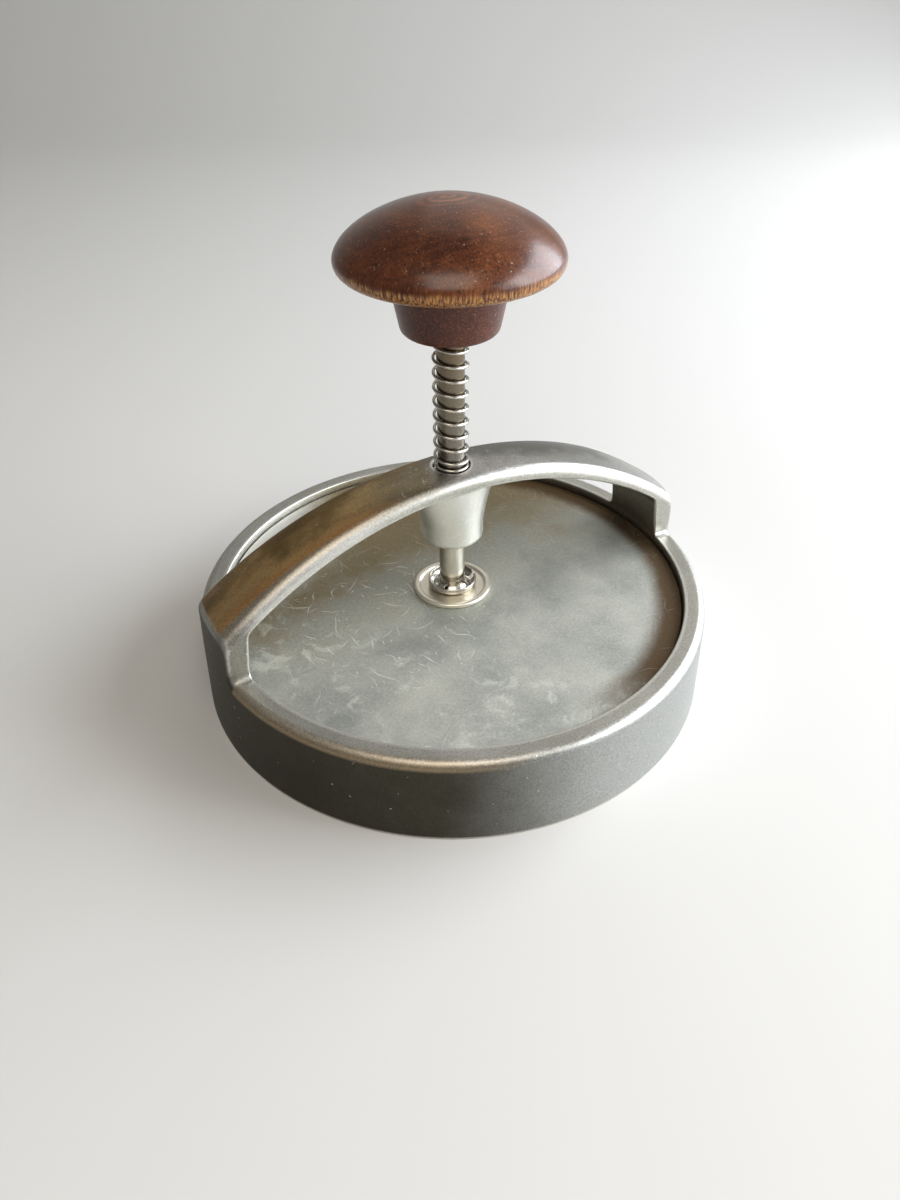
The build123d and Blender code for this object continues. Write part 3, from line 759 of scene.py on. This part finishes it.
# %% Edges worn bright, a painted highlight, and marks
def worn_edges(add, p):
    """Sharp edges broken up by the grain, less on the wall, the foot where the press is pushed about, the
    mouth of the pocket where the spring rubs, and a painted highlight at the top corner beside the left leg."""
    wear_and_painted_light = add("Math", (p.grain, 0.5, p.edge), **TIMES_PLUS)
    wear_and_painted_light = add("MapRange", (wear_and_painted_light, 0.6, 1.35), **SMOOTH)
    strength = add("Math", (p.wall, -0.45, 0.7), **TIMES_PLUS)
    wear_and_painted_light = add("Math", (wear_and_painted_light, strength), **TIMES)
    foot = add("MapRange", (p.z, 1.0 * MM, 0.5 * MM, 0.0, 0.7), **SMOOTH)
    mouth = add("MapRange", (p.out, 5.4 * MM, 4.7 * MM, 0.0, 0.9), **SMOOTH)
    # Painted highlight: a bright spot at the top front corner of the arch over the left leg.
    beside_leg = (-64.3 * MM, -10.1 * MM, 32.4 * MM)
    painted_highlight_spot = add("VectorMath", (p.where, beside_leg), out="Value", operation="DISTANCE")
    painted_highlight_spot = add("Math", (p.grain, 1.0 * MM, painted_highlight_spot), **TIMES_PLUS)
    painted_highlight_spot = add("MapRange", (painted_highlight_spot, 3.0 * MM, 1.6 * MM, 0.0, 0.9))
    for other in (foot, mouth, painted_highlight_spot):
        wear_and_painted_light = add("Math", (wear_and_painted_light, other), operation="MAXIMUM")
    return wear_and_painted_light


def cast_marks(add, p):
    """Scratches that gather round the middle of the bridge, pits of 1 mm all over, and dings on the boss."""
    long = strokes(add, p.where, 5, 4, 0.22, 1.0, 0.6)
    short = strokes(add, p.where, 2.6, 1.3, 0.28, 6.0, 0.5)
    lines = add("Math", (long, short), operation="MAXIMUM")
    near = add("Math", (p.x,), operation="ABSOLUTE")
    near = add("MapRange", (near, 6 * MM, 26 * MM, 1.0, 0.12), **SMOOTH)
    near = add("Math", (near, p.film), **TIMES)
    lines = add("Math", (lines, near), **TIMES)
    pits = add("TexNoise", {"Vector": p.where, "Scale": 1 / (1.0 * MM), "Detail": 1.0})
    pits = add("MapRange", (pits, 0.76, 0.80, 0.0, 0.8), **SMOOTH)
    dings = {"Vector": p.where, "Scale": 1 / (2.6 * MM), "Detail": 1.0, "Distortion": 1.2}
    dings = add("MapRange", (add("TexNoise", dings), 0.64, 0.68))
    dings = add("Math", (dings, p.clean), **TIMES)
    marks = add("Math", (lines, pits), operation="MAXIMUM")
    return add("Math", (marks, dings), operation="MAXIMUM")


# %% Tumbled cast aluminium
def cast_aluminium():
    """The steps above in order, with the grain laid over them. The gloss varies with the grain, and the
    wall and the greasy left half are a little duller."""
    metal, add, where = start("tumbled_cast_aluminium")
    p = cast_patterns(add, where)
    skin = bridge_film(add, p, wall_film_and_painted_shade(add, p, bare_metal(add, p)))
    skin = add("Mix", {"Factor": worn_edges(add, p), "A": skin, "B": "#dddcd6"}, **BLEND)
    speckle = add("ValToRGB", (p.grain,), stops=[(0.35, "#62605a"), (0.65, "#fbfaf6")])
    skin = add("Mix", {"Factor": 0.22, "A": skin, "B": speckle}, **OVERLAY)
    marks = cast_marks(add, p)
    bright = add("Math", (marks, 0.75), **TIMES)
    skin = add("Mix", {"Factor": bright, "A": skin, "B": "#efeeea"}, **BLEND)
    rough = add("MapRange", (p.grain, 0.3, 0.7, 0.30, 0.42))
    rough = add("Math", (p.wall, 0.06, rough), **TIMES_PLUS)
    greasy = add("MapRange", (p.x, -4 * MM, -20 * MM))
    rough = add("Math", (greasy, 0.10, rough), **TIMES_PLUS)
    height = add("Math", (marks, -0.8, p.grain), **TIMES_PLUS)
    return finish_with(metal, skin, rough, height, 0.012, Metallic=1.0)


body.data.materials.append(cast_aluminium())

# %% [markdown]
# ## Sheet aluminium
# The plate is rolled sheet that meets meat and water, so it is duller than the casting and cloudy. A brown
# film lies at the back, with a painted reflection of the arch's brown underside in it, a darker brown band
# runs along the right edge, and a pale patch at the back left is bare of film and painted paler as reflected
# light. The scratches are densest left of the hub. The films belong to the top face: the underside is plain.


# %% Sheet aluminium of the plate
def plate_aluminium():
    """Clouds of 18 mm, patches of 6 mm and fine grain. The film frays with the clouds and leaves one bare
    patch at the back left, which is painted paler as reflected light. The film at the back is partly a
    painted reflection of the arch's underside. Pale smudges are where water has dried in front."""
    metal, add, where = start("dull_sheet_aluminium")
    x, y, z = (add("SeparateXYZ", (where,), out=axis) for axis in "XYZ")
    flat, out = from_above(add, where)
    upper = add("MapRange", (z, 18.6 * MM, 19.4 * MM))
    clouds = add("TexNoise", {"Vector": where, "Scale": 1 / (18 * MM), "Detail": 5.0, "Roughness": 0.6})
    patches = {"Vector": where, "Scale": 1 / (6 * MM), "Detail": 4.0, "Roughness": 0.65, "Distortion": 0.6}
    patches = add("TexNoise", patches)
    grain = add("TexNoise", {"Vector": where, "Scale": 1 / (0.6 * MM), "Detail": 2.0, "Roughness": 0.7})
    skin = add("ValToRGB", (clouds,), stops=[(0.3, "#a9ada7"), (0.5, "#bfc1ba"), (0.7, "#cfcfc6")])
    stray = add("Math", (clouds, 44 * MM, -22 * MM), **TIMES_PLUS)
    # The brown film at the back is partly a film and partly a painted reflection of the arch's brown
    # underside.
    behind = add("Math", (x, -0.10, stray), **TIMES_PLUS)
    behind = add("Math", (behind, add("Math", (y, 0.99), **TIMES)), operation="ADD")
    film = add("MapRange", (behind, -6 * MM, 26 * MM, 0.0, 0.85), **SMOOTH)
    band = add("Math", (stray, 0.1, out), **TIMES_PLUS)
    band = add("MapRange", (band, 49.5 * MM, 54.5 * MM, 0.0, 0.95), **SMOOTH)
    at_right = add("MapRange", (x, -2 * MM, 26 * MM), **SMOOTH)
    band = add("Math", (band, at_right), **TIMES)
    # Painted light: the bare patch at the back left is painted paler than the bare sheet, as reflected
    # light.
    bare = add("VectorMath", (flat, (-40 * MM, 44 * MM, 0.0)), out="Value", operation="DISTANCE")
    bare = add("Math", (stray, 0.7, bare), **TIMES_PLUS)
    bare = add("MapRange", (bare, 12 * MM, 36 * MM, 1.0, 0.0), **SMOOTH)
    film = add("Math", (film, add("Math", (1.0, bare), operation="SUBTRACT")), **TIMES)
    film, bare, band = (add("Math", (share, upper), **TIMES) for share in (film, bare, band))
    for share, colour in ((bare, "#dfdfda"), (film, "#86754f"), (band, "#604c34")):
        skin = add("Mix", {"Factor": share, "A": skin, "B": colour}, **BLEND)
    smudge = add("MapRange", (patches, 0.52, 0.66, 0.0, 0.4), **SMOOTH)
    in_front = add("Math", (x, 1.2, y), **TIMES_PLUS)
    in_front = add("MapRange", (in_front, -22 * MM, -58 * MM), **SMOOTH)
    smudge = add("Math", (smudge, in_front), **TIMES)
    skin = add("Mix", {"Factor": smudge, "A": skin, "B": "#eef0e6"}, **BLEND)
    speckle = add("ValToRGB", (grain,), stops=[(0.35, "#6a685f"), (0.65, "#f4f3ee")])
    skin = add("Mix", {"Factor": 0.13, "A": skin, "B": speckle}, **OVERLAY)
    fine = [strokes(add, where, 7, 8, 0.22, 2.0, 0.6), strokes(add, where, 5.5, 5, 0.22, 9.0, 0.35)]
    bold = [strokes(add, where, 11, 11, 0.28, 4.0, 0.6), strokes(add, where, 3.2, 1.6, 0.3, 12.0, 0.2)]
    fine, bold = (add("Math", pair, operation="MAXIMUM") for pair in (fine, bold))
    marks = add("VectorMath", (flat, (-22 * MM, -5 * MM, 0.0)), out="Value", operation="DISTANCE")
    marks = add("Math", (stray, 0.4, marks), **TIMES_PLUS)
    marks = add("MapRange", (marks, 14 * MM, 38 * MM, 1.0, 0.2), **SMOOTH)
    marks = add("Math", (marks, add("Math", (fine, bold), operation="MAXIMUM")), **TIMES)
    marks, smudge = (add("Math", (share, upper), **TIMES) for share in (marks, smudge))
    bright = add("Math", (marks, 0.9), **TIMES)
    skin = add("Mix", {"Factor": bright, "A": skin, "B": "#fafaf6"}, **BLEND)
    rough = add("MapRange", (clouds, 0.3, 0.7, 0.60, 0.68))
    rough = add("Math", (smudge, 0.2, rough), **TIMES_PLUS)
    height = add("Math", (marks, -1.0, grain), **TIMES_PLUS)
    return finish_with(metal, skin, rough, height, 0.004, Metallic=1.0)


plate.data.materials.append(plate_aluminium())

# %% [markdown]
# ## Bright steel
# The rod is drawn, the washer and the bowl are stamped, and the spring is coiled from drawn wire. All four
# come out smooth and bright, so they differ only in colour and gloss. The washer is the palest, because
# it is plated, and the rod above the bridge is painted browner and darker towards the knob, as shade, and
# its gloss is lower there.


# %% Steel of the rod, the washer, the retainer and the spring
def bright_steel(name, low, high, roughness, dull=()):
    """Clouds of 6 mm between two shades, and grain of 0.4 mm in the gloss. With dull shades, which are
    painted shade, these show above the bridge from the lowest to the highest, darker and browner towards the
    knob, and the gloss is lower there."""
    metal, add, where = start(name)
    clouds = add("TexNoise", {"Vector": where, "Scale": 1 / (6 * MM), "Detail": 3.0})
    grain = add("TexNoise", {"Vector": where, "Scale": 1 / (0.4 * MM), "Detail": 2.0})
    skin = add("ValToRGB", (clouds,), stops=[(0.3, low), (0.7, high)])
    rough = add("MapRange", (grain, 0.0, 1.0, roughness, roughness + 0.08))
    if dull:
        z = add("SeparateXYZ", (where,), out="Z")
        z = add("Math", (clouds, 12 * MM, z), **TIMES_PLUS)
        # Painted shade: above the bridge the rod inside the spring turns darker and browner towards the
        # knob.
        shade_toward_knob = add("MapRange", (z, 50 * MM, 96 * MM))
        shade_toward_knob = add("ValToRGB", (shade_toward_knob,), stops=list(zip((0.0, 0.6, 1.0), dull)))
        above = add("MapRange", (z, 42 * MM, 50 * MM))
        skin = add("Mix", {"Factor": above, "A": skin, "B": shade_toward_knob}, **BLEND)
        rough = add("Math", (above, 0.12, rough), **TIMES_PLUS)
    return finish_with(metal, skin, rough, grain, 0.001, Metallic=1.0)


for made, *finish in (
        (rod, "drawn_bright_steel", "#c9c3b8", "#dcd8ce", 0.12, ("#8b8a86", "#7b7366", "#70604c")),
        (washer, "plated_washer_steel", "#e0dacb", "#efeadc", 0.34),
        (spring, "spring_wire_steel", "#b9b5ac", "#d2cec5", 0.22),
        (retainer, "stamped_spring_steel", "#b3afa6", "#cfcbc3", 0.22)):
    made.data.materials.append(bright_steel(*finish))

# %% [markdown]
# ## Stained wood
# The knob is a fine hardwood, turned, stained red-brown and varnished. The stain soaks into the end grain
# of the dome and hides it, apart from small rings at the top. The varnish has worn off the rim, where
# fingers hold it, so the rim shows golden streaks. The neck is duller, and it is painted darker as shade
# under the dome.


# %% Stained wood of the knob
def stained_wood():
    """The fibres run along Z. Pores are noise 0.4 mm across and 4 mm long, so that they are dots on the dome
    and streaks down the rim and neck. Growth rings are sin(2 pi k / 1.7 mm), where k is the distance from
    the pith, one and a half times as long as wide, and they fade between 3.5 and 7 mm out. The neck has
    red-brown flecks of half a millimetre, and pale specks of dust lie all over."""
    wood, add, where = start("stained_turned_hardwood")
    fibres = add("Mapping", (where, (0.0, 0.0, 0.0), (0.0, 0.0, 0.0), (2400.0, 2400.0, 260.0)))
    pores = add("TexNoise", {"Vector": fibres, "Scale": 1.0, "Detail": 3.0, "Roughness": 0.7})
    clouds = add("TexNoise", {"Vector": where, "Scale": 1 / (9 * MM), "Detail": 4.0, "Roughness": 0.6})
    skin = add("ValToRGB", (clouds,), stops=[(0.3, "#391808"), (0.5, "#542a12"), (0.7, "#6d3e1e")])
    pith = add("Mapping", (where, (0.0, 0.0, 0.0), (0.0, 0.0, 0.5), (0.68, 1.0, 0.0)))
    k = add("VectorMath", (pith,), out="Value", operation="LENGTH")
    uneven = add("TexNoise", {"Vector": where, "Scale": 1 / (6 * MM), "Detail": 2.0})
    k = add("Math", (uneven, 2.5 * MM, k), **TIMES_PLUS)
    rings = add("Math", (k, 2 * math.pi / (1.7 * MM)), **TIMES)
    rings = add("Math", (rings,), operation="SINE")
    rings = add("MapRange", (rings, -0.6, 0.9), **SMOOTH)
    inner = add("MapRange", (k, 7 * MM, 3.5 * MM, 0.08, 0.8), **SMOOTH)
    rings = add("Math", (rings, inner), **TIMES)
    dark_pores = add("MapRange", (pores, 0.46, 0.36, 0.0, 0.8), **SMOOTH)
    pale_pores = add("MapRange", (pores, 0.58, 0.68, 0.0, 0.45), **SMOOTH)
    z = add("SeparateXYZ", (where,), out="Z")
    on_neck = add("MapRange", (z, 102.4 * MM, 101.8 * MM))
    # Painted shade: the neck under the dome is painted darker.
    painted_shade = add("MapRange", (z, 102.4 * MM, 101.8 * MM, 0.0, 0.75))
    ragged = add("TexNoise", {"Vector": where, "Scale": 1 / (3 * MM), "Detail": 3.0})
    ragged = add("Math", (ragged, 1.8 * MM, z), **TIMES_PLUS)
    _, out = from_above(add, where)
    below_dome = add("MapRange", (ragged, 106.5 * MM, 105.3 * MM), **SMOOTH)
    past_underside = add("MapRange", (out, 20.4 * MM, 21.4 * MM, 0.0, 0.9), **SMOOTH)
    band = add("Math", (below_dome, past_underside), **TIMES)
    gold = add("ValToRGB", (pores,), stops=[(0.42, "#47200f"), (0.51, "#9c6835"), (0.64, "#c2924e")])
    flecks = add("TexNoise", {"Vector": where, "Scale": 1 / (0.45 * MM), "Detail": 3.0})
    flecks = add("MapRange", (flecks, 0.48, 0.66, 0.0, 0.45), **SMOOTH)
    flecks = add("Math", (flecks, on_neck), **TIMES)
    specks = add("TexNoise", {"Vector": where, "Scale": 1 / (0.6 * MM), "Detail": 1.0})
    specks = add("MapRange", (specks, 0.72, 0.78, 0.0, 0.4), **SMOOTH)
    for share, colour in (
            (rings, "#8d4c2b"), (dark_pores, "#240d05"), (pale_pores, "#a4673a"), (painted_shade, "#3b1105"),
            (band, gold), (flecks, "#8c4729"), (specks, "#cfc0ae")):
        skin = add("Mix", {"Factor": share, "A": skin, "B": colour}, **BLEND)
    rough = add("MapRange", (clouds, 0.3, 0.7, 0.26, 0.38))
    for share, more in ((band, 0.1), (on_neck, 0.2)):
        rough = add("Math", (share, more, rough), **TIMES_PLUS)
    varnish = {"Coat Weight": 0.42, "Coat Roughness": 0.2, "Specular IOR Level": 0.28}
    return finish_with(wood, skin, rough, pores, 0.02, **varnish)


knob.data.materials.append(stained_wood())

# %% [markdown]
# ## Floor, light and camera
# The press stands on a plain pale floor that bends up into the backdrop, under a wide soft light from the
# right and weaker ones from the front and from behind. The camera looks down on it from the front left,
# as the photograph does, and the floor is turned the same way, so that its bend lies square behind it.


# %% Floor and backdrop
CAMERA_YAW, CAMERA_PITCH, CAMERA_ROLL = 28.7, -37.9065, -0.5762


def studio_sheet(half_width=6000, front=-9000, bend_start=600, bend=500, top=2600):
    """One sheet, turned to face the camera: flat from the front to the start of the bend, a quarter circle
    up, y = start + bend sin(t) and z = bend (1 - cos(t)), and then straight up."""
    t = np.linspace(0, np.pi / 2, 13)
    flat_y = np.linspace(front, bend_start, 33)[:-1]
    x = np.linspace(-half_width, half_width, 41)
    y = np.concatenate([flat_y, bend_start + bend * np.sin(t), [bend_start + bend]])
    z = np.concatenate([0 * flat_y, bend * (1 - np.cos(t)), [top]])
    across, back = np.meshgrid(x, y)
    height = np.repeat(z[:, None], len(x), 1)
    c, s = math.cos(math.radians(CAMERA_YAW)), math.sin(math.radians(CAMERA_YAW))
    points = np.stack([across * c + back * s, back * c - across * s, height], -1)
    return piece("studio_floor", points.reshape(-1, 3), grid_faces(len(y), len(x), wrap_columns=False))


floor = studio_sheet()
paper, add, _ = start("pale_paper")
add("OutputMaterial", {"Surface": add("BsdfPrincipled", {"Base Color": "#d2d1ce", "Roughness": 0.9})})
floor.data.materials.append(paper)


# %% Lights
def soft_light(name, place, aim, size, watts, colour):
    """An area lamp at a place in millimetres, turned to face the point that it aims at."""
    lamp = bpy.data.lights.new(name, "AREA")
    lamp.shape = "RECTANGLE"
    lamp.size, lamp.size_y = (side * MM for side in size)
    lamp.energy = watts
    lamp.color = paint(colour)[:3]
    holder = bpy.data.objects.new(name, lamp)
    bpy.context.collection.objects.link(holder)
    back = np.array(place, float) - np.array(aim, float)
    back /= np.linalg.norm(back)
    right = np.cross([0, 0, 1], back)
    right /= np.linalg.norm(right)
    turn = Matrix(np.stack([right, np.cross(back, right), back], 1).tolist())
    holder.matrix_world = Matrix.Translation([v * MM for v in place]) @ turn.to_4x4()


soft_light("window_light", (635, -206, 330), (0, 0, 60), (900, 540), 11.4, "#f2f7ff")
soft_light("side_light", (430, -610, 330), (0, 0, 40), (420, 420), 2.0, "#f8f8f8")
soft_light("front_light", (-240, -460, 740), (0, 0, 30), (560, 560), 3.2, "#fff6ea")
soft_light("back_light", (430, 430, 640), (0, 0, 20), (620, 620), 0.6, "#fbf8f2")
world = bpy.data.worlds.new("pale_room")
world.use_nodes = True
background = world.node_tree.nodes["Background"]
background.inputs["Color"].default_value = paint("#dcdcd8")
background.inputs["Strength"].default_value = 0.28
bpy.context.scene.world = world
bpy.context.scene.view_settings.view_transform = "Standard"

# %% [markdown]
# The camera stands where the photograph was taken from. Its place, its three angles and its lens were
# worked out together from the outlines of the ring and the bridge in the photograph. It starts by looking
# straight down with the top of its frame to the back, as every Blender camera does.

# %% Camera
eye = bpy.data.cameras.new("photo_camera")
eye.sensor_width = 36.0
eye.lens = 28.38
eye.clip_start = 10 * MM
camera = bpy.data.objects.new("photo_camera", eye)
bpy.context.collection.objects.link(camera)
place = (-94.112, -170.580, 167.911)
turns = ((-CAMERA_YAW, "Z"), (90 + CAMERA_PITCH, "X"), (CAMERA_ROLL, "Z"))
camera.matrix_world = Matrix.Translation([v * MM for v in place])
for angle, axis in turns:
    camera.matrix_world = camera.matrix_world @ Matrix.Rotation(math.radians(angle), 4, axis)
bpy.context.scene.camera = camera
print("camera at", place, "mm with a lens of", round(eye.lens, 2), "mm")
